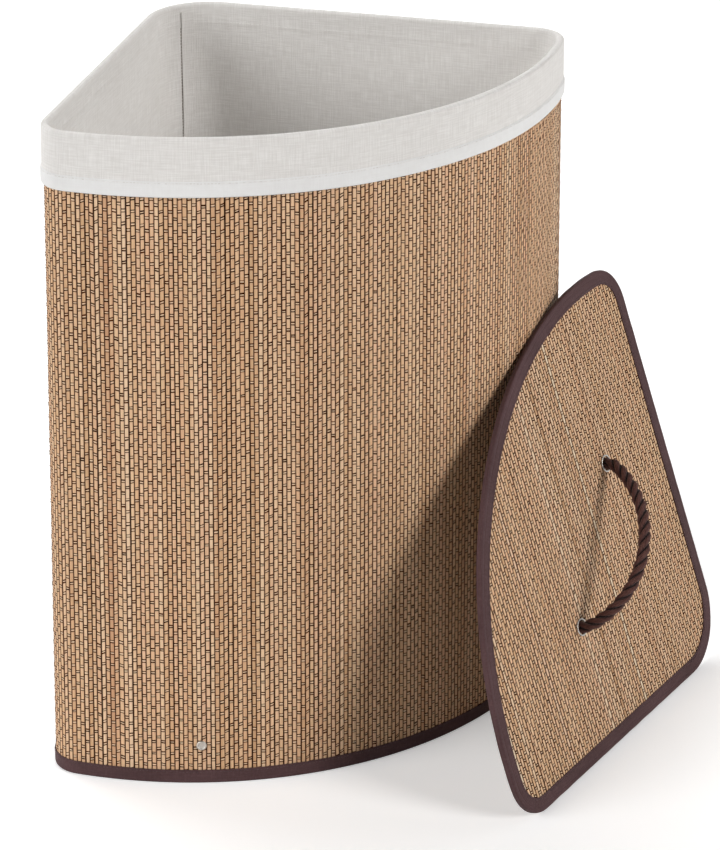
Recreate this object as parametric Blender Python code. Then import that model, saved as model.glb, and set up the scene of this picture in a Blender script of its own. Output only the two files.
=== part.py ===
"""Corner laundry hamper of woven bamboo mat, with a cotton liner and a loose lid.

Metres, +Z up.  The origin is on the floor under the middle of the hamper's base.  The curved
front faces -Y and the square corner that goes into the room's corner points to +Y.  The lid
stands on the floor on one of its straight edges and leans on the hamper's right front corner.
"""

from math import asin, atan2, cos, hypot, pi, radians, sin, sqrt

import bmesh
import bpy
from mathutils import Matrix, Vector

# ---------------------------------------------------------------- driving dimensions
HEIGHT = 0.650                  # floor to the top of the liner's fold
SIDE = 0.4015                   # straight side, from the sharp back corner to the sharp front one
FRONT_DEPTH = 0.140             # how far the curved front stands out from its chord
BACK_RADIUS = 0.060
FRONT_RADIUS = 0.030
BACK_CORNER_Y = 0.2225          # the sharp back corner, at the rim
FLARE = 0.04                    # the outline at the floor is this much larger than at the rim

GAP = 0.0003                    # clearance between touching pieces
TAPE = 0.0006                   # binding tape
MAT = 0.0024                    # woven bamboo mat
CLOTH = 0.0005                  # backing cloth
LINER = 0.0008                  # liner cotton

TAPE_OUT = GAP + TAPE                                    # binding's outer face, out from the mat
TAPE_IN = -(MAT + GAP + CLOTH + GAP + TAPE)              # binding's inner face
WIRE_RADIUS = 0.0012
WIRE_OFFSET = (TAPE_OUT + TAPE_IN) / 2
BINDING_HEIGHT = 0.014
FOLD_RADIUS = 0.0015

LINER_OUT = TAPE_OUT + GAP + LINER                       # cuff's outer face
LINER_IN = TAPE_IN - 0.0005 - LINER                      # liner's inner face
CUFF_BOTTOM = 0.5948
HEM_HEIGHT = 0.0152
RIM_TOP = HEIGHT - LINER - GAP                           # top of the rim binding
WIRE_CLEARANCE = TAPE + GAP + WIRE_RADIUS
MAT_TOP = RIM_TOP - TAPE - 2 * GAP - 2 * WIRE_RADIUS
MAT_BOTTOM = TAPE + 2 * GAP + 2 * WIRE_RADIUS

BASE_CLOTH = 0.0008
BASE_BOARD = 0.0035
TAB_ANGLE = 2.0                 # half the tab's width, in degrees round the front curve
TAB_HEIGHT = 0.052
TAB_REACH = 0.030
RIVET_ANGLE = 29.0              # from straight ahead, either way round the front curve
RIVET_Z = 0.041
RIVET_CAP_RADIUS = 0.005
RIVET_SHANK_RADIUS = 0.002

LID_OVERHANG = 0.010            # lid's outline beyond the hamper's
LID_THICKNESS = 0.006
LID_BINDING = 0.0145            # binding's width on the lid's faces
LID_HEADING = 27.7              # degrees from +X to the edge that the lid stands on
LID_LEAN = 20.05                # degrees from upright
LID_CORNER = Vector((0.4135, -0.1902, -0.0003))          # the lid's sharp back corner

EYELET_BORE = 0.0070
EYELET_BARREL = 0.0075
EYELET_FLANGE = 0.0088
ROPE_RADIUS = 0.00525
HANDLE_CENTRE = 0.2587          # from the lid's sharp back corner, along its middle line
HANDLE_SHIFT = 0.0055           # the pair of eyelets sits this far to the left of the middle line
HANDLE_HALF_SPAN = 0.0872
HANDLE_RISE = 0.0578            # rope's centreline above the lid's face, at the top of the arch
HANDLE_LEAN = 0.0105            # how far the top of the arch leans towards the lower eyelet
PIVOT_HEIGHT = LID_THICKNESS + 0.00035 + GAP + ROPE_RADIUS

MATERIALS = {
    # name: (colour, roughness, metallic)
    "bamboo": ((0.56, 0.38, 0.21), 0.55, 0.0),
    "brown_tape": ((0.075, 0.032, 0.028), 0.75, 0.0),
    "grey_cloth": ((0.40, 0.37, 0.33), 0.9, 0.0),
    "liner_cotton": ((0.78, 0.77, 0.74), 0.9, 0.0),
    "board": ((0.36, 0.25, 0.15), 0.8, 0.0),
    "steel": ((0.62, 0.62, 0.62), 0.3, 1.0),
    "rope": ((0.060, 0.025, 0.018), 0.85, 0.0),
}


# ---------------------------------------------------------------- helpers
def clear_scene():
    for old in list(bpy.data.objects):
        bpy.data.objects.remove(old, do_unlink=True)


def make_materials():
    made = {}
    for name, (colour, roughness, metallic) in MATERIALS.items():
        material = bpy.data.materials.new(name)
        material.use_nodes = True
        shader = material.node_tree.nodes["Principled BSDF"]
        shader.inputs["Base Color"].default_value = (*colour, 1.0)
        shader.inputs["Roughness"].default_value = roughness
        shader.inputs["Metallic"].default_value = metallic
        made[name] = material
    return made


def finish(bm, name, material, parent=None, sharp=40.0):
    """Closes a bmesh into a named object whose faces point outwards."""
    bmesh.ops.recalc_face_normals(bm, faces=bm.faces)
    mesh = bpy.data.meshes.new(name)
    bm.to_mesh(mesh)
    bm.free()
    mesh.materials.append(material)
    mesh.shade_smooth()
    mesh.set_sharp_from_angle(angle=radians(sharp))
    part = bpy.data.objects.new(name, mesh)
    bpy.context.scene.collection.objects.link(part)
    part.parent = parent
    return part


# ---------------------------------------------------------------- the quarter-round outline
HALF_CHORD = SIDE / sqrt(2)
ARC_RADIUS = (HALF_CHORD ** 2 + FRONT_DEPTH ** 2) / (2 * FRONT_DEPTH)
ARC_Y = BACK_CORNER_Y - HALF_CHORD - FRONT_DEPTH + ARC_RADIUS
BACK_Y = BACK_CORNER_Y - BACK_RADIUS * sqrt(2)


def front_corner_centre():
    """Centre of the arc that rounds the right front corner: inside both the side and the front."""
    side_line = BACK_CORNER_Y - FRONT_RADIUS * sqrt(2) - ARC_Y
    inner = ARC_RADIUS - FRONT_RADIUS
    x = (side_line + sqrt(2 * inner ** 2 - side_line ** 2)) / 2
    return x, side_line - x + ARC_Y


CORNER_X, CORNER_Y = front_corner_centre()
FRONT_END = atan2(CORNER_Y - ARC_Y, CORNER_X)            # where the front curve meets the corner


def arc(x, y, radius, start, end, steps):
    """Stations along an arc.  A station is (centre x, centre y, radius, angle)."""
    return [(x, y, radius, start + (end - start) * i / steps) for i in range(steps + 1)]


def outline(joint=0.0):
    """Stations once round, anticlockwise from the middle of the back corner.

    joint opens a gap of that width there, for a mat whose two ends butt together."""
    opening = joint / 2 / BACK_RADIUS
    left = arc(0, BACK_Y, BACK_RADIUS, pi / 2 + opening, 3 * pi / 4, 4)
    left += arc(-CORNER_X, CORNER_Y, FRONT_RADIUS, 3 * pi / 4, pi - FRONT_END, 5)
    left += arc(0, ARC_Y, ARC_RADIUS, pi - FRONT_END, 3 * pi / 2, 11)[1:]
    right = [(-x, y, radius, 3 * pi - angle) for x, y, radius, angle in left[-2::-1]]
    return left + (right if joint else right[:-1])


def front_strip(middle, half_width, steps=4):
    """Stations on the front curve, either side of an angle counted from straight ahead."""
    start = 3 * pi / 2 + radians(middle - half_width)
    return arc(0, ARC_Y, ARC_RADIUS, start, start + 2 * radians(half_width), steps)


def spot(station, offset, z=0.0, flare=True, corner=0.0):
    """A point at a station, offset outwards, at height z.  corner moves the outline's origin."""
    x, y, radius, angle = station
    grow = 1 + FLARE * (1 - z / HEIGHT) if flare else 1.0
    reach = radius + offset
    return Vector(((x + reach * cos(angle)) * grow, (y + reach * sin(angle) - corner) * grow, z))


def sweep(name, material, stations, profile, closed=True, **where):
    """Sweeps a closed profile of (offset, height) points, or (offset, height, flare), along."""
    bm = bmesh.new()
    rings = []
    for station in stations:
        ring = []
        for point in profile:
            place = dict(where)
            if len(point) == 3:
                place["flare"] = point[2]
            ring.append(bm.verts.new(spot(station, point[0], point[1], **place)))
        rings.append(ring)
    pairs = list(zip(rings, rings[1:]))
    if closed:
        pairs.append((rings[-1], rings[0]))
    else:
        bm.faces.new(rings[0])
        bm.faces.new(rings[-1])
    count = len(profile)
    for here, there in pairs:
        for i in range(count):
            j = (i + 1) % count
            bm.faces.new((here[i], there[i], there[j], here[j]))
    return finish(bm, name, material)


def plate(name, material, stations, offset, low, high, **where):
    """A flat plate with the outline's shape."""
    bm = bmesh.new()
    floor = [bm.verts.new(spot(s, offset, low, **where)) for s in stations]
    roof = [bm.verts.new(spot(s, offset, low, **where) + Vector((0, 0, high - low))) for s in stations]
    bm.faces.new(floor)
    bm.faces.new(roof)
    for i in range(len(stations)):
        j = (i + 1) % len(stations)
        bm.faces.new((floor[i], floor[j], roof[j], roof[i]))
    return finish(bm, name, material)


def folded(outer, inner, fold, outer_end, inner_end, thickness, radius, steps=2):
    """Section of a strip folded over an edge, as (across, along) points: outside, then inside."""
    way = 1 if fold > outer_end else -1

    def face(inset):
        bend = radius - inset
        points = [(outer - inset, outer_end)]
        for side, start in ((outer - radius, 0.0), (inner + radius, pi / 2)):
            for i in range(steps + 1):
                turn = start + pi / 2 * i / steps
                points.append((side + bend * cos(turn), fold - way * (radius - bend * sin(turn))))
        return points + [(inner + inset, inner_end)]

    return face(0.0) + face(thickness)[::-1]


def round_section(offset, z, radius, steps=6):
    return [(offset + radius * cos(2 * pi * i / steps), z + radius * sin(2 * pi * i / steps))
            for i in range(steps)]


def turned(name, material, profile, place, parent=None, steps=20):
    """Turns a closed (radius, height) profile round Z, then puts it where place says."""
    bm = bmesh.new()
    on_axis = [abs(r) < 1e-7 for r, _ in profile]
    poles = {i: bm.verts.new((0, 0, z)) for i, (_, z) in enumerate(profile) if on_axis[i]}
    rings = []
    for step in range(steps):
        angle = 2 * pi * step / steps
        ring = [poles[i] if on_axis[i] else bm.verts.new((r * cos(angle), r * sin(angle), z))
                for i, (r, z) in enumerate(profile)]
        rings.append(ring)
    count = len(profile)
    for step in range(steps):
        here, there = rings[step], rings[(step + 1) % steps]
        for i in range(count):
            j = (i + 1) % count
            if on_axis[i] and on_axis[j]:
                continue
            corners = [here[i], there[i], there[j], here[j]]
            bm.faces.new(list(dict.fromkeys(corners)))
    part = finish(bm, name, material, parent)
    part.matrix_local = place
    return part


def drill(part, cutters):
    """Cuts round holes through a part with cylinders that stay out of the model."""
    for number, (place, radius, depth) in enumerate(cutters):
        bm = bmesh.new()
        bmesh.ops.create_cone(bm, cap_ends=True, segments=24, radius1=radius, radius2=radius,
                              depth=depth)
        mesh = bpy.data.meshes.new(f"{part.name}_cutter")
        bm.to_mesh(mesh)
        bm.free()
        cutter = bpy.data.objects.new(f"{part.name}_cutter_{number}", mesh)
        bpy.context.scene.collection.objects.link(cutter)
        cutter.parent = part.parent
        cutter.matrix_local = place
        cutter.hide_render = True
        cutter.display_type = "WIRE"
        cut = part.modifiers.new("hole", "BOOLEAN")
        cut.operation = "DIFFERENCE"
        cut.solver = "EXACT"
        cut.object = cutter


# ---------------------------------------------------------------- hamper body
def build_wall(mats):
    """One length of bamboo mat, lined with cloth, wrapped round and butted at the back corner."""
    rows = outline(joint=0.0006)
    mat = sweep("wall_mat", mats["bamboo"], rows,
                [(0, MAT_BOTTOM), (0, MAT_TOP), (-MAT, MAT_TOP), (-MAT, MAT_BOTTOM)], closed=False)
    face = -MAT - GAP
    backing = sweep("wall_backing", mats["grey_cloth"], rows,
                    [(face, MAT_BOTTOM), (face, MAT_TOP), (face - CLOTH, MAT_TOP),
                     (face - CLOTH, MAT_BOTTOM)], closed=False)
    quarter = radians(10)
    tape_rows = arc(0, BACK_Y, BACK_RADIUS, pi / 2 - quarter, pi / 2 + quarter, 4)
    low = BINDING_HEIGHT + GAP
    high = RIM_TOP - BINDING_HEIGHT - GAP
    sweep("wall_seam_tape", mats["brown_tape"], tape_rows,
          [(GAP, low), (GAP, high), (TAPE_OUT, high), (TAPE_OUT, low)], closed=False)
    return mat, backing


def build_rims(mats):
    """Steel wires that keep the quarter-round shape, each in a folded tape along one edge."""
    rows = outline()
    sweep("top_binding", mats["brown_tape"], rows,
          folded(TAPE_OUT, TAPE_IN, RIM_TOP, RIM_TOP - BINDING_HEIGHT, RIM_TOP - BINDING_HEIGHT,
                 TAPE, FOLD_RADIUS))
    sweep("top_rim_wire", mats["steel"], rows,
          round_section(WIRE_OFFSET, RIM_TOP - WIRE_CLEARANCE, WIRE_RADIUS))
    sweep("bottom_binding", mats["brown_tape"], rows,
          folded(TAPE_OUT, TAPE_IN, 0.0, BINDING_HEIGHT, BINDING_HEIGHT, TAPE, FOLD_RADIUS))
    sweep("bottom_rim_wire", mats["steel"], rows,
          round_section(WIRE_OFFSET, WIRE_CLEARANCE, WIRE_RADIUS))


def build_base(mats):
    """A loose stiff board on a cloth bottom, inside the wall."""
    rows = outline()
    edge = TAPE_IN - GAP
    plate("base_cloth", mats["grey_cloth"], rows, edge, 0.0, BASE_CLOTH)
    plate("base_board", mats["board"], rows, edge, BASE_CLOTH + GAP, BASE_CLOTH + GAP + BASE_BOARD)


def rivet_place(side):
    """Frame of a rivet: its Z points straight out of the wall, from the mat's outer face."""
    station = front_strip(side * RIVET_ANGLE, 0.0, steps=1)[0]
    out = Vector((cos(station[3]), sin(station[3]), 0))
    turn = out.to_track_quat("Z", "Y").to_matrix().to_4x4()
    return Matrix.Translation(spot(station, 0.0, RIVET_Z)) @ turn


def build_base_tabs(mats, wall, backing):
    """Two tabs riveted to the front of the wall hold the base board down."""
    board_top = BASE_CLOTH + GAP + BASE_BOARD
    face = TAPE_IN - GAP
    rivet_cuts = []
    for name, side in (("left", -1), ("right", 1)):
        low = board_top + GAP
        section = [(face, low), (face, TAB_HEIGHT), (face - TAPE, TAB_HEIGHT),
                   (face - TAPE, low + TAPE), (face - TAB_REACH, low + TAPE),
                   (face - TAB_REACH, low)]
        tab = sweep(f"base_tab_{name}", mats["brown_tape"],
                    front_strip(side * RIVET_ANGLE, TAB_ANGLE), section, closed=False)
        place = rivet_place(side)
        hole = (place, RIVET_SHANK_RADIUS + GAP, 0.03)
        rivet_cuts.append(hole)
        drill(tab, [hole])
        shank = RIVET_SHANK_RADIUS
        cap = RIVET_CAP_RADIUS
        washer_face = face - TAPE - GAP
        tail = washer_face - 0.0008 - GAP
        turned(f"rivet_{name}", mats["steel"],
               [(0, 0.0021), (cap * 0.5, 0.0019), (cap * 0.85, 0.0013), (cap, 0.0007),
                (cap, 0.0004), (shank, 0.0004), (shank, tail), (shank * 1.6, tail),
                (shank * 1.6, tail - 0.0006), (0, tail - 0.0009)], place)
        turned(f"rivet_washer_{name}", mats["steel"],
               [(shank + GAP, washer_face), (cap, washer_face), (cap, washer_face - 0.0008),
                (shank + GAP, washer_face - 0.0008)], place)
    drill(wall, rivet_cuts)
    drill(backing, rivet_cuts)


# ---------------------------------------------------------------- liner
def build_liner(mats):
    """A straight-sided cotton bag whose top is folded out over the rim as a cuff."""
    rows = outline()
    floor_top = BASE_CLOTH + BASE_BOARD + TAPE + 3 * GAP + CLOTH
    section = folded(LINER_OUT, LINER_IN, HEIGHT, CUFF_BOTTOM, floor_top + GAP, LINER,
                     FOLD_RADIUS + GAP + LINER)
    middle = (LINER_OUT + LINER_IN) / 2
    bag = [(across, along, across > middle) for across, along in section]
    sweep("liner_bag", mats["liner_cotton"], rows, bag)
    plate("liner_floor", mats["liner_cotton"], rows, LINER_IN + LINER, floor_top - CLOTH, floor_top,
          flare=False)
    hem = LINER_OUT + GAP
    hem_top = CUFF_BOTTOM + HEM_HEIGHT
    sweep("liner_hem", mats["liner_cotton"], rows,
          [(hem, CUFF_BOTTOM), (hem, hem_top), (hem + TAPE, hem_top), (hem + TAPE, CUFF_BOTTOM)])
    half = radians(2.5)
    seam_rows = arc(0, BACK_Y, BACK_RADIUS, pi / 2 - half, pi / 2 + half, 2)
    seam = LINER_IN - GAP
    sweep("liner_corner_seam", mats["liner_cotton"], seam_rows,
          [(seam, floor_top + GAP), (seam, HEIGHT - 0.006), (seam - TAPE, HEIGHT - 0.006),
           (seam - TAPE, floor_top + GAP)], closed=False, flare=False)


# ---------------------------------------------------------------- lid
def eyelet_spots():
    """The two eyelets in the lid's own plan, whose origin is its sharp back corner."""
    return {"upper": Vector((-HANDLE_SHIFT - HANDLE_HALF_SPAN, -HANDLE_CENTRE, 0)),
            "lower": Vector((-HANDLE_SHIFT + HANDLE_HALF_SPAN, -HANDLE_CENTRE, 0))}


def lid_stand():
    """An empty that stands the flat lid on its right-hand edge and leans it back."""
    stand = bpy.data.objects.new("lid_stand", None)
    bpy.context.scene.collection.objects.link(stand)
    edge_to_floor = Matrix.Rotation(radians(225), 4, "Z")
    lean_back = Matrix.Rotation(radians(90 - LID_LEAN), 4, "X")
    heading = Matrix.Rotation(radians(LID_HEADING), 4, "Z")
    stand.matrix_world = Matrix.Translation(LID_CORNER) @ heading @ lean_back @ edge_to_floor
    return stand


def build_lid(mats, stand):
    """Board between a lining cloth and a bamboo mat, bound all round with one folded tape."""
    rows = outline()
    corner = BACK_CORNER_Y + LID_OVERHANG * sqrt(2)
    flat = {"flare": False, "corner": corner}
    section = folded(LID_THICKNESS, 0.0, 0.0, -LID_BINDING, -LID_BINDING, TAPE, 0.0012)
    binding = [(LID_OVERHANG + along, across) for across, along in section]
    sweep("lid_binding", mats["brown_tape"], rows, binding, **flat).parent = stand
    inset = LID_OVERHANG - TAPE - GAP
    lining_low = TAPE + GAP
    board_low = lining_low + CLOTH + GAP
    mat_high = LID_THICKNESS - TAPE - GAP
    mat_low = mat_high - 0.0015
    layers = (("lid_lining", "grey_cloth", lining_low, lining_low + CLOTH),
              ("lid_board", "board", board_low, mat_low - GAP),
              ("lid_mat", "bamboo", mat_low, mat_high))
    holes = [(Matrix.Translation(spot_), EYELET_BARREL + 0.0004, 0.03)
             for spot_ in eyelet_spots().values()]
    for name, finish_name, low, high in layers:
        layer = plate(name, mats[finish_name], rows, inset, low, high, **flat)
        layer.parent = stand
        drill(layer, holes)


def build_eyelets(mats, stand):
    """Metal eyelets with back washers, where the rope goes through the lid."""
    seat = LID_THICKNESS - TAPE
    top = LID_THICKNESS + 0.0003
    for name, centre in eyelet_spots().items():
        place = Matrix.Translation(centre)
        turned(f"eyelet_{name}", mats["steel"],
               [(EYELET_BORE, GAP), (EYELET_BARREL, GAP), (EYELET_BARREL, seat),
                (EYELET_FLANGE - 0.0002, seat), (EYELET_FLANGE, seat + 0.0003),
                (EYELET_FLANGE - 0.0003, top - 0.0001), (EYELET_FLANGE - 0.0006, top),
                (EYELET_BARREL + 0.0002, top - 0.0001), (EYELET_BORE, top - 0.0006)], place, stand)
        bore = EYELET_BARREL + GAP
        turned(f"eyelet_washer_{name}", mats["steel"],
               [(bore, 0.00005), (EYELET_FLANGE, 0.00005), (EYELET_FLANGE, TAPE), (bore, TAPE)],
               place, stand)


def build_rope_ends(mats, stand):
    """Each end of the rope goes down through its eyelet into a knot under the lid."""
    neck = ROPE_RADIUS
    for name, centre in eyelet_spots().items():
        turned(f"rope_end_{name}", mats["rope"],
               [(0, LID_THICKNESS + 0.0001), (neck * 0.9, LID_THICKNESS + 0.0001),
                (neck, LID_THICKNESS - 0.0006), (neck, -0.0006), (0.0085, -0.0012),
                (0.0110, -0.0045), (0.0114, -0.0085), (0.0098, -0.0125), (0.0065, -0.0150),
                (neck, -0.0162), (neck, -0.0240), (neck * 0.7, -0.0248), (0, -0.0248)],
               Matrix.Translation(centre), stand)


def build_handle(mats, stand):
    """The rope's arch.  It swings about the line between its two rounded ends."""
    swing = bpy.data.objects.new("handle_swing", None)
    bpy.context.scene.collection.objects.link(swing)
    swing.parent = stand
    swing.location = Vector((-HANDLE_SHIFT, -HANDLE_CENTRE, PIVOT_HEIGHT))
    rise = LID_THICKNESS + HANDLE_RISE - PIVOT_HEIGHT
    radius = (HANDLE_HALF_SPAN ** 2 + rise ** 2) / (2 * rise)
    half_angle = asin(HANDLE_HALF_SPAN / radius)
    arch = 28
    path = []
    for i in range(arch + 1):
        turn = -half_angle + 2 * half_angle * i / arch
        height = radius * cos(turn) - radius + rise
        path.append((Vector((radius * sin(turn) + HANDLE_LEAN * height / rise, 0, height)), 1.0))
    cap = []
    for i in range(1, 4):
        back = ROPE_RADIUS * sin(pi / 2 * i / 3.3)
        cap.append((back, cos(pi / 2 * i / 3.3)))
    for end, before, way in ((0, 1, -1), (-1, -2, 1)):
        tip = path[end][0].copy()
        along = (tip - path[before][0]).normalized()
        extra = [(tip + along * back, size) for back, size in cap]
        path = extra[::-1] + path if way < 0 else path + extra
    curve = bpy.data.curves.new("handle_rope", "CURVE")
    curve.dimensions = "3D"
    curve.bevel_depth = ROPE_RADIUS
    curve.bevel_resolution = 2
    curve.use_fill_caps = True
    spline = curve.splines.new("POLY")
    spline.points.add(len(path) - 1)
    for point, (place, size) in zip(spline.points, path):
        point.co = (*place, 1.0)
        point.radius = size
    spline.use_smooth = True
    curve.materials.append(mats["rope"])
    rope = bpy.data.objects.new("handle_rope", curve)
    bpy.context.scene.collection.objects.link(rope)
    rope.parent = swing


def main():
    clear_scene()
    mats = make_materials()
    wall, backing = build_wall(mats)
    build_rims(mats)
    build_base(mats)
    build_base_tabs(mats, wall, backing)
    build_liner(mats)
    stand = lid_stand()
    build_lid(mats, stand)
    build_eyelets(mats, stand)
    build_rope_ends(mats, stand)
    build_handle(mats, stand)


main()
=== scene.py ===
# %% [markdown]
# # A corner laundry hamper in woven bamboo
# The hamper is a quarter-round basket that fits into the corner of a room. Its wall is a mat of
# thin bamboo slats, its bag is white cotton, and its lid stands beside it with a rope handle.
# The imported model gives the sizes; every piece below is built around it, in metres.

# %% Load the fixed frame
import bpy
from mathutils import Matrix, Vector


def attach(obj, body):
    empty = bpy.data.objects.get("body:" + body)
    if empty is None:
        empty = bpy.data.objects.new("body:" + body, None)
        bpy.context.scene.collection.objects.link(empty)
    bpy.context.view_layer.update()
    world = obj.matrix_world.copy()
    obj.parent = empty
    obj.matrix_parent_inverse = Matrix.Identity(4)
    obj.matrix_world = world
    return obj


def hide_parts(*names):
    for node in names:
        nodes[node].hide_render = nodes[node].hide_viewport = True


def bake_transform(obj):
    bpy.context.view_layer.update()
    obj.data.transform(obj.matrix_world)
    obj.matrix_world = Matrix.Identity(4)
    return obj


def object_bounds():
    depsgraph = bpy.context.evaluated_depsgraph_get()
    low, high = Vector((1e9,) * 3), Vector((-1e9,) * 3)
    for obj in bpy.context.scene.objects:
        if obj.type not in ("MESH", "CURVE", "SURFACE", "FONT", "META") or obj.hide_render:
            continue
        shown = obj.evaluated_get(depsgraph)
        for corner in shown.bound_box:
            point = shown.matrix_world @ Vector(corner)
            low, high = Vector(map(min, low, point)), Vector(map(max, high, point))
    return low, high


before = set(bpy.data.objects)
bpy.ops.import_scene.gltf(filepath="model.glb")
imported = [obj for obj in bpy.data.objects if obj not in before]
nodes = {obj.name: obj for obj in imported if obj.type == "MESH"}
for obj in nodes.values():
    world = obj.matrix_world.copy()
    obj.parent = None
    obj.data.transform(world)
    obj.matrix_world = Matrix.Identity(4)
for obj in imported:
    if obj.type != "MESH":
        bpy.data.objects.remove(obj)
cad_low, cad_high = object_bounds()
print("the frame holds", len(nodes), "nodes, up to", round(cad_high.z, 4), "m high")

# %% Tools that every later cell uses
from math import asin, atan2, cos, hypot, pi, radians, sin, sqrt

import bpy
import numpy as np
from mathutils import Matrix, Vector

rng = np.random.default_rng(21)


def deselect():
    """Nothing stays selected, so that an operator acts on one piece only."""
    for thing in list(bpy.context.selected_objects):
        thing.select_set(False)


def hold(piece):
    """Selects one piece and makes it the active one."""
    deselect()
    piece.select_set(True)
    bpy.context.view_layer.objects.active = piece
    return piece


def settle(name):
    """Names the new primitive and puts its place, turn and size into its mesh."""
    piece = bpy.context.object
    piece.name = name
    piece.data.name = name
    bpy.ops.object.transform_apply(location=True, rotation=True, scale=True)
    return piece


def edit(piece, select="SELECT", vertices=False):
    """Opens a piece in edit mode, with all of it or none of it selected."""
    hold(piece)
    bpy.ops.object.mode_set(mode="EDIT")
    bpy.context.tool_settings.mesh_select_mode = (vertices, not vertices, False)
    bpy.ops.mesh.select_all(action=select)


def leave_edit():
    bpy.ops.object.mode_set(mode="OBJECT")


def smooth(piece, sharp=50):
    hold(piece)
    bpy.ops.object.shade_smooth_by_angle(angle=radians(sharp))


def belongs(piece, body, slot, *stands_for):
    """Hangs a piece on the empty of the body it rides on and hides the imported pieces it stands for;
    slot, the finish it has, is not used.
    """
    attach(piece, body)
    if stands_for:
        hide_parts(*stands_for)


def read_points(piece):
    points = np.empty(len(piece.data.vertices) * 3)
    piece.data.vertices.foreach_get("co", points)
    return points.reshape(-1, 3)


def write_points(piece, points):
    piece.data.vertices.foreach_set("co", points.astype(np.float32).ravel())
    piece.data.update()


def add_mark(piece, name, values):
    """Keeps one value or one vector for each point, for a material to read."""
    values = np.asarray(values, np.float32)
    kind, field = ("FLOAT", "value") if values.ndim == 1 else ("FLOAT_VECTOR", "vector")
    piece.data.attributes.new(name, kind, "POINT").data.foreach_set(field, values.ravel())


print("the random draws start from one seed")

# %% [markdown]
# ## The outline
# Seen from above, wall, bindings, bag and lid all follow one outline: a rounded square corner at
# the back, two straight sides, two small front corners and a wide front curve. A function that
# turns a distance round the outline into a place lets each piece be modelled flat, as a mat or
# a tape is before it is bent, and wrapped afterwards.

# %% The outline as a list of stations
HEIGHT = 0.650
SIDE = 0.4015
FRONT_DEPTH = 0.140
BACK_RADIUS = 0.060
FRONT_RADIUS = 0.030
BACK_CORNER_Y = 0.2225
FLARE = 0.04

half_chord = SIDE / sqrt(2)
arc_radius = (half_chord ** 2 + FRONT_DEPTH ** 2) / (2 * FRONT_DEPTH)
arc_y = BACK_CORNER_Y - half_chord - FRONT_DEPTH + arc_radius
back_y = BACK_CORNER_Y - BACK_RADIUS * sqrt(2)
side_line = BACK_CORNER_Y - FRONT_RADIUS * sqrt(2) - arc_y
inner = arc_radius - FRONT_RADIUS
corner_x = (side_line + sqrt(2 * inner ** 2 - side_line ** 2)) / 2
corner_y = side_line - corner_x + arc_y
front_end = atan2(corner_y - arc_y, corner_x)

side_length = hypot(corner_x, corner_y - back_y)
side_length = sqrt(side_length ** 2 - (BACK_RADIUS - FRONT_RADIUS) ** 2)
legs = [
    (0.0, (0, back_y, BACK_RADIUS, pi / 2)),
    (BACK_RADIUS * pi / 4, (0, back_y, BACK_RADIUS, 3 * pi / 4)),
    (side_length, (-corner_x, corner_y, FRONT_RADIUS, 3 * pi / 4)),
    (FRONT_RADIUS * (pi / 4 - front_end), (-corner_x, corner_y, FRONT_RADIUS, pi - front_end)),
    (1e-9, (0, arc_y, arc_radius, pi - front_end)),
    (arc_radius * (pi + 2 * front_end), (0, arc_y, arc_radius, 2 * pi + front_end)),
    (1e-9, (corner_x, corner_y, FRONT_RADIUS, 2 * pi + front_end)),
    (FRONT_RADIUS * (pi / 4 - front_end), (corner_x, corner_y, FRONT_RADIUS, 9 * pi / 4)),
    (side_length, (0, back_y, BACK_RADIUS, 9 * pi / 4)),
    (BACK_RADIUS * pi / 4, (0, back_y, BACK_RADIUS, 5 * pi / 2)),
]
round_at = np.cumsum([leg for leg, _ in legs])
stations = np.array([station for _, station in legs])
ROUND = round_at[-1]
print("once round the outline is", round(ROUND, 4), "m")


def spot(along, out):
    """Centre-line place (x, y) at a distance round the outline, moved outwards."""
    along = np.mod(along, ROUND)
    x, y, radius, angle = (np.interp(along, round_at, stations[:, i]) for i in range(4))
    return x + (radius + out) * np.cos(angle), y + (radius + out) * np.sin(angle)


def wrap(flat, flared=1.0):
    """Bends flat points (distance round, depth, height) round the hamper."""
    x, y = spot(flat[..., 0], -flat[..., 1])
    z = flat[..., 2]
    grow = 1 + FLARE * (1 - z / HEIGHT) * flared
    return np.stack([x * grow, y * grow, z], -1)


# %% [markdown]
# The lid has the same outline, a centimetre larger. It stands on its right-hand straight edge on
# the floor and leans back on the hamper, so its flat plan is placed by one matrix.

# %% Where the lid stands
LID_OVERHANG = 0.010
LID_THICKNESS = 0.006
lid_corner = BACK_CORNER_Y + LID_OVERHANG * sqrt(2)
stand = np.array(Matrix.Translation((0.4135, -0.1902, -0.0003))
                 @ Matrix.Rotation(radians(27.7), 4, "Z")
                 @ Matrix.Rotation(radians(90 - 20.05), 4, "X")
                 @ Matrix.Rotation(radians(225), 4, "Z"))


def on_lid(plan):
    """Puts points of the lid's own plan (x, y, height above its back) where the lid stands."""
    return plan @ stand[:3, :3].T + stand[:3, 3]


def wrap_lid(flat, flared=1.0):
    """Bends flat points (distance round, depth, height) round the lid's outline."""
    x, y = spot(flat[..., 0], LID_OVERHANG - flat[..., 1])
    return on_lid(np.stack([x, y - lid_corner, flat[..., 2]], -1))


lid_normal = on_lid(np.array([0, 0, 1.0])) - on_lid(np.zeros(3))
print("the lid faces", lid_normal.round(3))

# %% [markdown]
# ## The camera
# A long lens from a little over three metres shows the hamper from its left front, from above.

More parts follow.
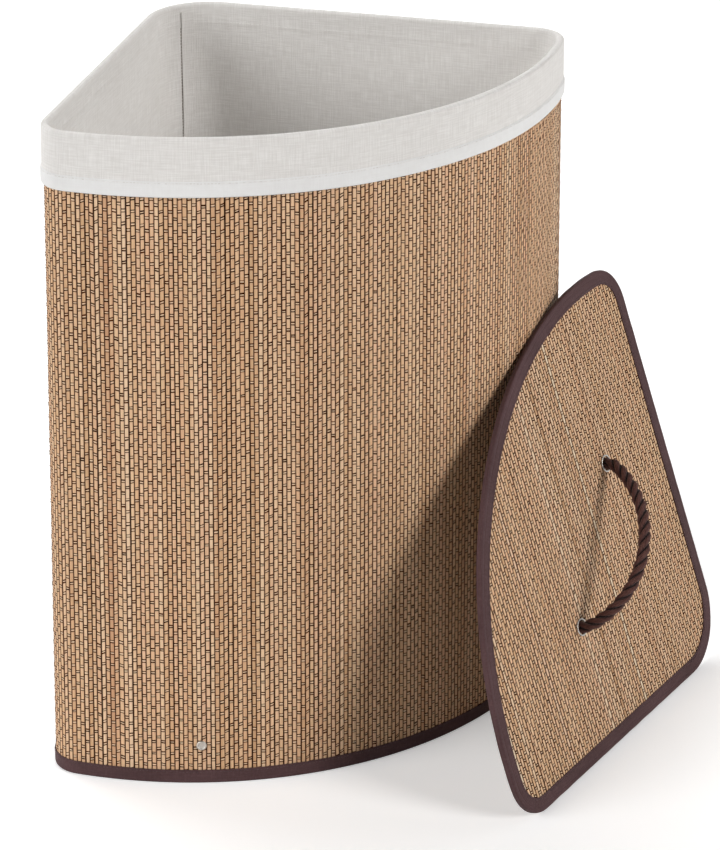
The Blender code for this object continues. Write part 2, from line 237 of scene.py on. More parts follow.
# %% Camera
azimuth, elevation, roll, distance = -0.54355, 0.42818, 0.00602, 3.23351
target = np.array([0.03528, -0.09446, 0.300])
back = np.array([sin(azimuth) * cos(elevation), -cos(azimuth) * cos(elevation), sin(elevation)])
level = np.cross((0, 0, 1), back)
level /= np.linalg.norm(level)
upright = np.cross(back, level)
right = cos(roll) * level + sin(roll) * upright
above = cos(roll) * upright - sin(roll) * level
camera = bpy.data.objects.new("camera", bpy.data.cameras.new("camera"))
bpy.context.scene.collection.objects.link(camera)
camera.data.lens = 141.606
camera.data.sensor_width = 36
camera.data.clip_end = 50
camera.matrix_world = Matrix.Translation(target + distance * back) @ Matrix(
    [[*row, 0] for row in np.stack([right, above, back], 1)] + [[0, 0, 0, 1]])
bpy.context.scene.camera = camera
print("the camera stands at", [round(x, 3) for x in camera.matrix_world.translation])

# %% [markdown]
# ## The rope handle
# A laid rope has three strands twisted round each other, and each strand is itself a bundle of
# twisted yarns. So a strand is modelled as a straight ribbed rod, and three copies of it are
# bent along three helices round the rope's own line. The rope comes up through one eyelet,
# stands off the lid in a stiff arch and goes down through the other. Each end is held by
# a knot under the lid.

# %% The line that the rope follows
ROPE = 0.0105
LAY = 0.038
HANDLE_X = -0.0055
HANDLE_Y = -0.2587
HALF_SPAN = 0.0872
PIVOT_HEIGHT = LID_THICKNESS + 0.00035 + 0.0003 + ROPE / 2
RISE = LID_THICKNESS + 0.0578 - PIVOT_HEIGHT
LEAN = 0.0105
TAIL = -0.0245


def even_steps(points, step):
    """The same line, with points a fixed step apart."""
    runs = np.r_[0, np.cumsum(np.linalg.norm(np.diff(points, axis=0), axis=1))]
    count = int(round(runs[-1] / step))
    at = np.linspace(0, runs[-1], count + 1)
    return np.stack([np.interp(at, runs, points[:, i]) for i in range(points.shape[1])], 1)


arch_radius = (HALF_SPAN ** 2 + RISE ** 2) / (2 * RISE)
half_angle = asin(HALF_SPAN / arch_radius)
turns = np.linspace(-half_angle, half_angle, 121)
arch_height = RISE - arch_radius * (1 - np.cos(turns))
arch = np.stack([HANDLE_X + arch_radius * np.sin(turns) + LEAN * arch_height / RISE,
                 np.full(121, HANDLE_Y), PIVOT_HEIGHT + arch_height], 1)
leg_up = np.array([[HANDLE_X - HALF_SPAN, HANDLE_Y, TAIL], [HANDLE_X - HALF_SPAN, HANDLE_Y, 0.009]])
leg_down = leg_up[::-1] + (2 * HALF_SPAN, 0, 0)
rope_line = even_steps(np.concatenate([leg_up, arch[3:-3], leg_down]), 0.001)
kernel = np.hanning(15)[1:-1]
padded_line = np.concatenate([rope_line[:1]] * 6 + [rope_line] + [rope_line[-1:]] * 6)
soft_line = np.stack([np.convolve(padded_line[:, i], kernel / kernel.sum(), "valid")
                      for i in range(3)], 1)
soft_line[0], soft_line[-1] = rope_line[0], rope_line[-1]
rope_line = even_steps(soft_line, 0.0018)

# %% A strand, and the way to bend it
STRAND = 0.0030
STRAND_REACH = 0.0032
YARNS = 7
YARN_LAY = 0.045


def frames(line):
    """Two directions across the line at each of its points, carried along without twist."""
    ahead = np.gradient(line, axis=0)
    ahead /= np.linalg.norm(ahead, axis=1)[:, None]
    across = np.zeros_like(line)
    start = np.array([0, 1.0, 0]) if abs(ahead[0, 1]) < 0.9 else np.array([1.0, 0, 0])
    for i, way in enumerate(ahead):
        start = start - way * (start @ way)
        start /= np.linalg.norm(start)
        across[i] = start
    return across, np.cross(ahead, across)


def edges_that(piece, test):
    """Selects the edges whose two ends pass a test, ready for an edit-mode operator."""
    edit(piece, "DESELECT")
    leave_edit()
    for edge in piece.data.edges:
        edge.select = bool(test(*(piece.data.vertices[i].co for i in edge.vertices)))
    bpy.ops.object.mode_set(mode="EDIT")


def is_upright(a, b):
    return abs(a.z - b.z) > 0.5


def rod(name, radius, steps, sides=20):
    """A straight rod one metre long along Z, divided evenly along its length."""
    deselect()
    bpy.ops.mesh.primitive_cylinder_add(vertices=sides, radius=radius, depth=1,
                                        location=(0, 0, 0.5), end_fill_type="NGON")
    piece = settle(name)
    edges_that(piece, is_upright)
    bpy.ops.mesh.subdivide(number_cuts=steps - 1)
    leave_edit()
    return piece


def bend_along(piece, line, twist=0.0):
    """Bends a straight rod along a line, and keeps where each point was as an attribute."""
    points = read_points(piece)
    across, beside = frames(line)
    length = np.linalg.norm(np.diff(line, axis=0), axis=1).sum()
    at = points[:, 2] * (len(line) - 1)
    centre, one, two = (np.stack([np.interp(at, np.arange(len(line)), part[:, i])
                                  for i in range(3)], 1) for part in (line, across, beside))
    turn = twist * points[:, 2] * length
    x = points[:, 0] * np.cos(turn) - points[:, 1] * np.sin(turn)
    y = points[:, 0] * np.sin(turn) + points[:, 1] * np.cos(turn)
    add_mark(piece, "straight", points * (1, 1, length))
    write_points(piece, centre + one * x[:, None] + two * y[:, None])


def strand_line(line, number, reach=STRAND_REACH, lay=LAY):
    """The helix that one strand follows round the rope's own line."""
    across, beside = frames(line)
    runs = np.r_[0, np.cumsum(np.linalg.norm(np.diff(line, axis=0), axis=1))]
    turn = (2 * pi * (runs / lay + number / 3))[:, None]
    return line + reach * (np.cos(turn) * across + np.sin(turn) * beside)


def laid_rope(name, line, size=1.0):
    """Three ribbed strands laid round a line, as one mesh."""
    strands = []
    for number in range(3):
        strand = rod(f"{name}_{number}", STRAND * size, len(line) - 1)
        points = read_points(strand)
        angle = np.arctan2(points[:, 1], points[:, 0])
        swell = 1.0 + 0.018 * np.cos(YARNS * angle)
        write_points(strand, points * np.stack([swell, swell, np.ones(len(swell))], 1))
        bend_along(strand, strand_line(line, number, STRAND_REACH * size), twist=-2 * pi / YARN_LAY)
        at = points[:, 2] * (len(line) - 1)
        middle = np.stack([np.interp(at, np.arange(len(line)), line[:, i]) for i in range(3)], 1)
        out = np.linalg.norm(read_points(strand) - middle, axis=1)
        add_mark(strand, "out", out / (STRAND + STRAND_REACH) / size)
        strands.append(strand)
    deselect()
    for strand in strands:
        strand.select_set(True)
    bpy.context.view_layer.objects.active = strands[0]
    bpy.ops.object.join()
    rope = bpy.context.object
    rope.name = rope.data.name = name
    smooth(rope)
    return rope


handle = laid_rope("rope_handle", on_lid(rope_line))
print("the handle has", len(handle.data.polygons), "faces")

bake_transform(handle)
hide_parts("handle_rope", "rope_end_upper", "rope_end_lower")

# %% [markdown]
# The knot is a turn and a half of the same rope, wound tightly round the end that comes down
# through the eyelet. It is what stops the rope from being pulled out of the lid.

# %% The knots under the lid
knot_turns = np.linspace(0, 3.1 * pi, 64)
knot_reach = 0.0114 - ROPE * 0.44
knot_line = np.stack([knot_reach * np.cos(knot_turns), knot_reach * np.sin(knot_turns),
                      np.linspace(-0.0058, -0.0138, 64)], 1)
knot_line[:8] *= np.linspace(0.25, 1, 8)[:, None] ** (1, 1, 0)
knot_line[-8:] *= np.linspace(1, 0.25, 8)[:, None] ** (1, 1, 0)
KNOT_SIZE = 0.84
knots = []
for name, side, turned in (("upper", -1, 0.0), ("lower", 1, 2.2)):
    spin = np.array(Matrix.Rotation(turned, 3, "Z"))
    place = even_steps(knot_line, 0.0016) @ spin.T + (HANDLE_X + side * HALF_SPAN, HANDLE_Y, 0)
    knots.append(laid_rope(f"rope_knot_{name}", on_lid(place), KNOT_SIZE))
    belongs(knots[-1], "lid", "rope")
print("two knots of", round(np.linalg.norm(np.diff(knot_line, axis=0), axis=1).sum(), 3), "m")

# %% [markdown]
# ## The bamboo mat
# The mat is the largest thing to look at, so it is real geometry: more than three hundred
# upright slats, and dark weft threads that run over one slat and under the next. The threads
# come in pairs, and the pairs on neighbouring slats are staggered like bricks. One slat and one
# stitch are modelled, and copied with small differences, because no two slats are alike.

# %% One slat
SLAT_WIDTH = 0.0036
SLAT_PITCH = 0.0043
SLAT_FACE = 0.0003
SLAT_THICKNESS = 0.0013
SLAT_ROUNDING = 0.0006


def model_slat(cuts):
    """A flat strip along Z whose two outer long edges are rounded off."""
    deselect()
    bpy.ops.mesh.primitive_cube_add(size=1, location=(0, SLAT_FACE + SLAT_THICKNESS / 2, 0),
                                    scale=(SLAT_WIDTH, SLAT_THICKNESS, 1))
    slat = settle("slat")
    edges_that(slat, lambda a, b: is_upright(a, b) and max(a.y, b.y) < SLAT_FACE + 1e-5)
    bpy.ops.mesh.bevel(offset=SLAT_ROUNDING, segments=2, affect="EDGES")
    leave_edit()
    edges_that(slat, is_upright)
    bpy.ops.mesh.subdivide(number_cuts=cuts)
    leave_edit()
    return slat


def copies(name, unit, points, **marks):
    """One mesh made of copies of a modelled unit.

    points is (copies, points of the unit, 3). A mark is one value for each copy's point."""
    source = unit.data
    corner = np.empty(len(source.loops), np.int32)
    source.loops.foreach_get("vertex_index", corner)
    start = np.empty(len(source.polygons), np.int32)
    source.polygons.foreach_get("loop_start", start)
    many, few = points.shape[:2]
    mesh = bpy.data.meshes.new(name)
    mesh.vertices.add(many * few)
    mesh.vertices.foreach_set("co", points.astype(np.float32).ravel())
    mesh.loops.add(many * len(corner))
    all_corners = (corner[None] + np.arange(many, dtype=np.int32)[:, None] * few).ravel()
    mesh.loops.foreach_set("vertex_index", all_corners)
    mesh.polygons.add(many * len(start))
    all_starts = start[None] + np.arange(many, dtype=np.int32)[:, None] * len(corner)
    mesh.polygons.foreach_set("loop_start", all_starts.ravel().astype(np.int32))
    mesh.update(calc_edges=True)
    for mark, values in marks.items():
        values = np.asarray(values, np.float32)
        if values.ndim == 3:
            layer = mesh.uv_layers.new(name=mark)
            layer.data.foreach_set("uv", values.reshape(-1, 2)[all_corners].ravel())
        else:
            layer = mesh.attributes.new(mark, "FLOAT", "POINT")
            layer.data.foreach_set("value", values.ravel())
    piece = bpy.data.objects.new(name, mesh)
    bpy.context.scene.collection.objects.link(piece)
    smooth(piece, 40)
    return piece


slat = model_slat(cuts=9)
print("one slat has", len(slat.data.vertices), "points")

# %% One stitch of the weft
PROUD = 0.00045


def model_stitch(name, half, width, height, dip):
    """A thread that comes up out of one gap, crosses the slat and goes down the next."""
    deselect()
    bpy.ops.mesh.primitive_cylinder_add(vertices=3, radius=width / sqrt(3), depth=2 * half,
                                        end_fill_type="TRIFAN", rotation=(0, -pi / 2, pi))
    stitch = settle(name)
    edit(stitch)
    bpy.ops.transform.resize(value=(1, height / (width * sqrt(3) / 2), 1))
    for side in (-1, 1):
        edit(stitch, "DESELECT", vertices=True)
        leave_edit()
        for point in stitch.data.vertices:
            point.select = hypot(point.co.y, point.co.z) < 1e-6 and point.co.x * side > 0
        bpy.ops.object.mode_set(mode="EDIT")
        bpy.ops.transform.translate(value=(side * dip[0], dip[1], 0))
        leave_edit()
    return stitch


stitch = model_stitch("stitch", half=0.0017, width=0.00140, height=0.0006, dip=(0.0005, 0.0010))
FACES = len(stitch.data.polygons)
print("one stitch has", len(stitch.data.vertices), "points and", FACES, "faces")

# %% Lay slats and stitches side by side
ROW = 0.01235
PAIR = 0.0012
SWAY = 0.00012
BOW = 0.00006


def slat_traits(count):
    """The small ways in which each slat differs from the next."""
    return {
        "tone": rng.normal(0.53, 0.19, count).clip(0, 1),
        "hue": rng.random(count),
        "wide": rng.normal(1.0, 0.045, count).clip(0.88, 1.12),
        "shift": rng.normal(0, 0.00009, count),
        "sink": rng.normal(0, 0.00007, count).clip(-0.0002, 0.0002),
        "tilt": rng.normal(0.06, 0.20, count),
        "rise": rng.normal(0, 0.00035, count),
    }


def bent(z, centres, traits):
    """Where a slat's middle is at a height, round and in depth. No slat is quite straight."""
    along = centres + traits["shift"] + SWAY * np.sin(z * 23 + traits["hue"] * 40)
    return along, traits["sink"] + BOW * np.sin(z * 31 + traits["tone"] * 50)


def lay_slats(name, centres, low, high, parity, traits, place):
    """Slats that stand at the given centres between two heights, one height pair each."""
    unit = read_points(slat)
    own = {trait: values[:, None] for trait, values in traits.items()}
    z = low[:, None] + (unit[:, 2] + 0.5) * (high - low)[:, None]
    along, deep = bent(z, centres[:, None], own)
    points = np.stack([unit[:, 0] * own["wide"] + along, unit[:, 1] + deep, z], -1)
    rows = (z - own["rise"]) / ROW + 0.5 * parity[:, None]
    across = np.broadcast_to(unit[:, 0] / SLAT_WIDTH + 0.5, rows.shape)
    every_point = np.ones(len(unit))
    return copies(name, slat, place(points), weave=np.stack([across, rows], -1),
                  tone=own["tone"] * every_point, hue=own["hue"] * every_point)


def lay_stitches(name, centres, low, high, parity, traits, place):
    """Pairs of stitches over the given slats, a row apart, staggered from slat to slat."""
    first = np.ceil((low - traits["rise"]) / ROW + 0.5 * parity - 0.5).astype(int)
    last = np.floor((high - traits["rise"]) / ROW + 0.5 * parity - 0.5).astype(int)
    number = np.repeat(np.arange(len(centres)), np.maximum(0, last - first + 1))
    row = np.concatenate([np.arange(a, b + 1) for a, b in zip(first, last)])
    z = (row + 0.5 - 0.5 * parity[number]) * ROW + traits["rise"][number]
    number, z = np.repeat(number, 2), np.repeat(z, 2)
    side = np.tile([-1.0, 1.0], len(z) // 2)
    z = z + side * (PAIR + rng.normal(0, 0.00012, len(z))) + rng.normal(0, 0.00012, len(z))
    keep = (z > low[number] + 0.0005) & (z < high[number] - 0.0005)
    number, z = number[keep], z[keep]
    count = len(z)
    own = {trait: values[number] for trait, values in traits.items()}
    tilt = (own["tilt"] + rng.normal(0, 0.07, count))[:, None]
    thick = rng.normal(1.0, 0.16, count).clip(0.6, 1.35)[:, None]
    loose = rng.normal(0, 0.00007, count).clip(-0.0001, 0.00022)
    along, deep = bent(z, centres[number], own)
    across, out, up = read_points(stitch).T
    points = np.stack([across * own["wide"][:, None] + along[:, None], out + (deep + loose)[:, None],
                       up * thick + z[:, None] + across * tilt], -1)
    shade = np.broadcast_to(rng.random(count)[:, None], points.shape[:2])
    return copies(name, stitch, place(points), tone=shade)


unit_points = read_points(stitch)
lift = SLAT_FACE - PROUD - unit_points[:, 1].min()
write_points(stitch, unit_points + (0, lift, 0))
print("a stitch stands", PROUD * 1000, "mm proud of its slat")

# %% The hamper's wall
MAT_LOW, MAT_HIGH = 0.0040, 0.6449
slat_count = 2 * int(round(ROUND * 1.02 / SLAT_PITCH / 2))
mat_centres = (np.arange(slat_count) + 0.5) * ROUND / slat_count
mat_parity = np.arange(slat_count) % 2
mat_traits = slat_traits(slat_count)
low = np.full(slat_count, MAT_LOW)
high = np.full(slat_count, MAT_HIGH)
mat_slats = lay_slats("mat_slats", mat_centres, low, high, mat_parity, mat_traits, wrap)
belongs(mat_slats, "hamper", "bamboo", "wall_mat")
weft = []
for sector, (start, stop) in enumerate(((0.0, 0.31), (0.31, 0.5), (0.5, 0.69), (0.69, 1.0))):
    part = slice(int(start * slat_count), int(stop * slat_count))
    some = {trait: values[part] for trait, values in mat_traits.items()}
    piece = lay_stitches(f"mat_weft_{sector}", mat_centres[part], low[part] + 0.008,
                         high[part] - 0.008, mat_parity[part], some, wrap)
    belongs(piece, "hamper", "brown_tape")
    weft.append(piece)
print(slat_count, "slats and", sum(len(piece.data.polygons) for piece in weft) // 9, "stitches")

# %% [markdown]
# The lid is covered with the same mat, laid flat. Its slats run alongside the lid's left straight
# edge, and each is cut off where it meets the outline, under the binding.

# %% The lid's mat
MAT_FACE = 0.0051
LID_EDGE = LID_OVERHANG - 0.0012
rim = np.stack(spot(np.linspace(0, ROUND, 1500), LID_EDGE), 1) - (0, lid_corner)
along_way = np.array([-1, -1]) / sqrt(2)
across_way = np.array([-1, 1]) / sqrt(2)
rim_along, rim_across = rim @ along_way, rim @ across_way
lid_centres = np.arange(rim_across.min() + 0.003, rim_across.max() - 0.002, SLAT_PITCH)
lid_low = np.empty(len(lid_centres))
lid_high = np.empty(len(lid_centres))
for i, centre in enumerate(lid_centres):
    spans = []
    for edge in (centre - SLAT_WIDTH / 2, centre, centre + SLAT_WIDTH / 2):
        ends = np.roll(rim_across, -1)
        cross = np.where((rim_across - edge) * (ends - edge) <= 0)[0]
        where = rim_along[cross] if len(cross) else np.array([0.0])
        spans.append((where.min(), where.max()))
    lid_low[i] = max(span[0] for span in spans)
    lid_high[i] = min(span[1] for span in spans)
long_enough = lid_high - lid_low > 0.012
lid_centres, lid_low, lid_high = (a[long_enough] for a in (lid_centres, lid_low, lid_high))


def lay_on_lid(flat):
    """Lays flat mat points (across, depth, along) on the lid's face."""
    plan = flat[..., :1] * across_way + flat[..., 2:] * along_way
    return on_lid(np.concatenate([plan, MAT_FACE - flat[..., 1:2]], -1))


lid_parity = np.arange(len(lid_centres)) % 2
lid_traits = slat_traits(len(lid_centres))
lid_traits["sink"] *= 0.5
lid_slats = lay_slats("lid_slats", lid_centres, lid_low, lid_high, lid_parity, lid_traits, lay_on_lid)
lid_weft = lay_stitches("lid_weft", lid_centres, lid_low + 0.001, lid_high - 0.001, lid_parity,
                        lid_traits, lay_on_lid)
belongs(lid_slats, "lid", "bamboo", "lid_mat")
belongs(lid_weft, "lid", "brown_tape")
for unit in (slat, stitch):
    bpy.data.objects.remove(unit)
print("the lid has", len(lid_centres), "slats and", len(lid_weft.data.polygons) // FACES, "stitches")

# %% [markdown]
# ## Tapes and cloth that go round the outline
# A binding is a long strip of cotton tape folded over an edge, and the bag is a wide strip folded
# over the rim. Both start as one flat grid. Each row of the grid is a line of the folded section,
# and keeping the flat place of each corner as a UV map gives the weave its true size in metres.

# %% A strip, folded and wrapped
TAPE = 0.0006
TAPE_OUT = 0.0009
TAPE_IN = -0.0041


def fillet(points, radius, steps=4):
    """A polyline whose inner corners are rounded."""
    points = [np.array(point, float) for point in points]
    made = [points[0]]
    for before, corner, after in zip(points, points[1:], points[2:]):
        to, away = corner - before, after - corner
        reach = min(radius, 0.49 * np.linalg.norm(to), 0.49 * np.linalg.norm(away))
        start = corner - to / np.linalg.norm(to) * reach
        stop = corner + away / np.linalg.norm(away) * reach
        for t in np.linspace(0, 1, steps + 1):
            made.append((1 - t) ** 2 * start + 2 * t * (1 - t) * corner + t ** 2 * stop)
    return np.array(made + [points[-1]])


def map_cloth(piece, flat):
    """Keeps each point's place on the flat cloth as the UV map."""
    corner = np.empty(len(piece.data.loops), np.int32)
    piece.data.loops.foreach_get("vertex_index", corner)
    piece.data.uv_layers[0].name = "cloth"
    piece.data.uv_layers[0].data.foreach_set("uv", flat[corner].astype(np.float32).ravel())


def thicken(piece, thickness):
    solid = piece.modifiers.new("thickness", "SOLIDIFY")
    solid.thickness = thickness
    solid.offset = -1
    bpy.ops.object.modifier_apply(modifier=solid.name)
    smooth(piece)


def strip(name, section, place, start=0.0, stop=None, around=300, thickness=TAPE, flared=None,
          ripple=None):
    """A flat grid with one row for each point of a section (out, height), bent round."""
    stop = ROUND if stop is None else stop
    section = np.array(section)
    runs = np.r_[0, np.cumsum(np.linalg.norm(np.diff(section, axis=0), axis=1))]
    deselect()
    bpy.ops.mesh.primitive_grid_add(x_subdivisions=around, y_subdivisions=len(section) - 1, size=1)
    piece = settle(name)
    flat = read_points(piece) + 0.5
    flat[:, 0] = start + flat[:, 0] * (stop - start)
    row = np.rint(flat[:, 1] * (len(section) - 1)).astype(int)
    map_cloth(piece, np.stack([flat[:, 0], runs[row]], 1))
    out, height = section[row, 0], section[row, 1]
    if ripple:
        out = out + ripple(flat[:, 0], height, row)
    curl = 1.0 if flared is None else np.asarray(flared)[row]
    write_points(piece, place(np.stack([flat[:, 0], -out, height], -1), curl))
    edit(piece, vertices=True)
    bpy.ops.mesh.remove_doubles(threshold=1e-5)
    leave_edit()
    thicken(piece, thickness)
    return piece


def waves(seed, reach, count=6, fast=14, tall=9.0):
    """Soft unevenness that closes up after once round."""
    draw = np.random.default_rng(seed)
    turns = draw.integers(2, fast, count) * 2 * pi / ROUND
    rise = draw.normal(0, tall, count)
    phase = draw.random(count) * 2 * pi
    weight = draw.random(count) + 0.3
    weight = weight / weight.sum() * reach
    return lambda along, height: sum(
        w * np.sin(t * along + r * height + p) for w, t, r, p in zip(weight, turns, rise, phase))


bind = waves(3, 0.00022, fast=40)
bottom_section = fillet([(TAPE_IN, 0.014), (TAPE_IN, 0.0075), (TAPE_IN, 0), (TAPE_OUT, 0),
                         (TAPE_OUT, 0.0075), (TAPE_OUT, 0.0142)], 0.0015)
bottom_tape = strip("bottom_tape", bottom_section, wrap,
                    ripple=lambda along, height, row: bind(along, height) * (height > 0.0015))
belongs(bottom_tape, "hamper", "brown_tape", "bottom_binding")
print("the bottom tape has", len(bottom_tape.data.polygons), "faces")

# %% The lid's binding
LID_TAPE = 0.0145
edge = LID_OVERHANG
lid_section = fillet([(edge - LID_TAPE, 0.0001), (edge - 0.006, 0.00005), (edge - 0.0001, 0.0),
                      (edge, 0.003), (edge - 0.0001, LID_THICKNESS),
                      (edge - 0.0042, LID_THICKNESS + 0.00005), (edge - 0.0048, LID_THICKNESS - 0.0002),
                      (edge - 0.0055, LID_THICKNESS + 0.00005), (edge - 0.010, LID_THICKNESS + 0.0001),
                      (edge - LID_TAPE, LID_THICKNESS - 0.0001)], 0.0024, steps=4)
puff = waves(5, 0.00025, fast=60)
lid_tape = strip("lid_tape", lid_section - (LID_OVERHANG, 0), wrap_lid, around=340,
                 ripple=lambda along, height, row: puff(along, height * 60) - 0.0002)
belongs(lid_tape, "lid", "brown_tape", "lid_binding")
print("the lid's tape has", len(lid_tape.data.polygons), "faces")

# %% [markdown]
# ## Seams
# Sewing shows as a row of short threads, each with its ends sunk into the cloth. One thread is
# modelled and laid in rows: along the tapes, round the hem and up the bag's corner.

# %% Rows of sewing
sewn = model_stitch("sewn", half=0.0009, width=0.0006, height=0.00035, dip=(0.0004, 0.0002))
sewn_points = read_points(sewn)
FACING = {
    "out": np.eye(3),
    "in": np.diag([-1.0, -1.0, 1.0]),
    "up": np.array([[1.0, 0, 0], [0, 0, 1], [0, -1, 0]]),
    "down": np.array([[1.0, 0, 0], [0, 0, -1], [0, 1, 0]]),
    "upright": np.array([[0, 0, -1.0], [0, 1, 0], [1, 0, 0]]),
    "upright_in": np.array([[0, 0, 1.0], [0, -1, 0], [1, 0, 0]]),
}


def sew(name, rows, place, body, slot, flared=1.0):
    """Rows of stitches. A row is (distances round, out, heights, which way it faces)."""
    sets = []
    for along, out, height, facing in rows:
        along, out, height = np.broadcast_arrays(along, out, height)
        thread = sewn_points @ FACING[facing].T
        centre = np.stack([along, -out, height], -1) + rng.normal(0, 0.00008, (len(along), 3)) * (1, 0, 1)
        sets.append(thread[None] + centre[:, None])
    points = np.concatenate(sets)
    shade = np.broadcast_to(rng.random(len(points))[:, None], points.shape[:2])
    piece = copies(name, sewn, place(points, flared), tone=shade)
    belongs(piece, body, slot)
    return piece


SEWN_STEP = 0.0031
SEWN_FROM_EDGE = 0.0125
every = np.arange(0.0, ROUND - 0.0015, SEWN_STEP)
lid_sewing = sew("lid_sewing", [(every, -SEWN_FROM_EDGE, LID_THICKNESS + 0.00012, "up"),
                                (every, -SEWN_FROM_EDGE, -0.00002, "down")], wrap_lid, "lid",
                  "brown_tape")
bottom_sewing = sew("bottom_sewing", [(every, TAPE_OUT + 0.00012, 0.0122, "out")], wrap, "hamper",
                    "brown_tape")
print("sewn:", [len(piece.data.polygons) // FACES for piece in (lid_sewing, bottom_sewing)], "stitches")

# %% The tape over the mat's joint at the back
SEAM_HALF = 0.0105
seam_section = [(TAPE_OUT, z) for z in np.linspace(0.0146, 0.6346, 60)]
seam_tape = strip("seam_tape", seam_section, wrap, start=-SEAM_HALF, stop=SEAM_HALF, around=12,
                  ripple=lambda along, height, row: bind(along * 9, height * 9) * 0.8 + 0.0001)
belongs(seam_tape, "hamper", "brown_tape", "wall_seam_tape")
up_tape = np.arange(0.0165, 0.633, SEWN_STEP)
seam_sewing = sew("seam_sewing", [(side * (SEAM_HALF - 0.0018), TAPE_OUT + 0.00025, up_tape, "upright")
                                  for side in (-1, 1)], wrap, "hamper", "brown_tape")
print("the seam tape runs from", seam_section[0][1], "to", round(seam_section[-1][1], 3))

# %% [markdown]
# ## The cotton bag
# The bag hangs inside the wall and its top is turned out over the rim as a cuff, with a stitched
# hem. It is one strip: up the outside, over the rim and down the inside to the bottom. A bag that
# hangs empty isn't flat, so the inside gets soft upright folds that fade out towards the rim.

# %% The bag's wall
LINER = 0.0008
LINER_OUT = 0.0020
LINER_IN = -0.0054
CUFF_BOTTOM = 0.5948
HEM = 0.0152
BAG_FLOOR = 0.0063
FLOOR_CLOTH = 0.0005
fold = 0.0032
cuff_rows = [(LINER_OUT, z) for z in np.linspace(CUFF_BOTTOM, HEIGHT - fold, 14)]
quarter = np.linspace(0, pi / 2, 6)[1:]
over_out = [(LINER_OUT - fold + fold * cos(a), HEIGHT - fold + fold * sin(a)) for a in quarter]
over_in = [(LINER_IN + fold - fold * sin(a), HEIGHT - fold + fold * cos(a)) for a in quarter]
band = HEIGHT - 0.021
down_rows = [(LINER_IN, HEIGHT - 0.010), (LINER_IN, band + 0.0015), (LINER_IN - 0.0001, band),
             (LINER_IN + 0.0001, band - 0.0008), (LINER_IN + 0.0001, band - 0.003)]
down_rows += [(LINER_IN, z) for z in np.linspace(band - 0.012, BAG_FLOOR + 0.0005, 44)]
bag_section = cuff_rows + over_out + [(-0.0017, HEIGHT)] + over_in + down_rows
INSIDE_ROW = len(bag_section)
flared = [1.0] * (len(cuff_rows) + len(over_out)) + [0.5] + [0.0] * (len(over_in) + len(down_rows))
folds = waves(11, 1.0, count=9, fast=24, tall=3.0)
cuff_folds = waves(12, 0.0004, count=8, fast=30, tall=20.0)


def bag_ripple(along, height, row):
    """The cuff is nearly flat; the inside leans inwards in soft folds, more so lower down."""
    inside = row > len(cuff_rows) + len(over_out)
    depth = np.clip((HEIGHT - 0.03 - height) / 0.35, 0, 1)
    hang = 0.0042 * depth * (1 + folds(along, height)) + 0.0004 * (1 + folds(along, height * 2))
    low_end = np.clip((height - BAG_FLOOR) / 0.02, 0, 1)
    return np.where(inside, -hang * low_end * (height < HEIGHT - 0.012), cuff_folds(along, height)
                    * np.clip((HEIGHT - 0.004 - height) / 0.02, 0, 1) * (height < HEIGHT - 0.004))


bag = strip("bag", bag_section, wrap, around=300, thickness=LINER, flared=flared, ripple=bag_ripple)
belongs(bag, "liner", "liner_cotton", "liner_bag")

# %% Its floor, hem and corner seam
deselect()
bpy.ops.mesh.primitive_circle_add(vertices=220, radius=1, fill_type="NGON")
bag_floor = settle("bag_floor")
edit(bag_floor, vertices=True)
for step in range(7):
    bpy.ops.mesh.inset(thickness=0.09 if step else 0.02, use_relative_offset=False)
bpy.ops.mesh.poke()
leave_edit()
disc = read_points(bag_floor)
share = np.hypot(disc[:, 0], disc[:, 1])
turn = np.mod(np.arctan2(disc[:, 1], disc[:, 0]) - pi / 2, 2 * pi)
edge_x, edge_y = spot(turn / (2 * pi) * ROUND, LINER_IN - LINER - 0.0003)
flat_floor = np.stack([edge_x * share, edge_y * share], 1)
swell = 0.0012 * np.sin(flat_floor[:, 0] * 26) * np.cos(flat_floor[:, 1] * 31) * (1 - share ** 3)
write_points(bag_floor, np.c_[flat_floor, BAG_FLOOR + 0.0012 * (1 - share ** 4) + swell])
map_cloth(bag_floor, flat_floor)
thicken(bag_floor, FLOOR_CLOTH)
belongs(bag_floor, "liner", "liner_cotton", "liner_floor")

hem_top = CUFF_BOTTOM + HEM
hem_section = fillet([(LINER_OUT + 0.0001, hem_top), (LINER_OUT + 0.0009, hem_top - 0.0010),
                      (LINER_OUT + 0.0012, hem_top - 0.007), (LINER_OUT + 0.0010, CUFF_BOTTOM + 0.0008),
                      (LINER_OUT - 0.0006, CUFF_BOTTOM - 0.0002)], 0.0008)[::-1]
hem = strip("bag_hem", hem_section, wrap, thickness=0.0005,
            ripple=lambda along, height, row: cuff_folds(along, height) * 0.8)
belongs(hem, "liner", "liner_cotton", "liner_hem")

down_seam = [(LINER_IN - 0.0011, z) for z in np.linspace(HEIGHT - 0.0075, BAG_FLOOR + 0.001, 50)]


def seam_ripple(along, height, row):
    return bag_ripple(along, height, INSIDE_ROW) - 0.0003 * np.sin(height * 60)


corner_seam = strip("bag_corner_seam", down_seam, wrap, start=-0.0135, stop=0.0008, around=10,
                    thickness=0.0008, flared=[0.0] * 50, ripple=seam_ripple)
belongs(corner_seam, "liner", "liner_cotton", "liner_corner_seam")
print("the hem is", HEM, "m wide")

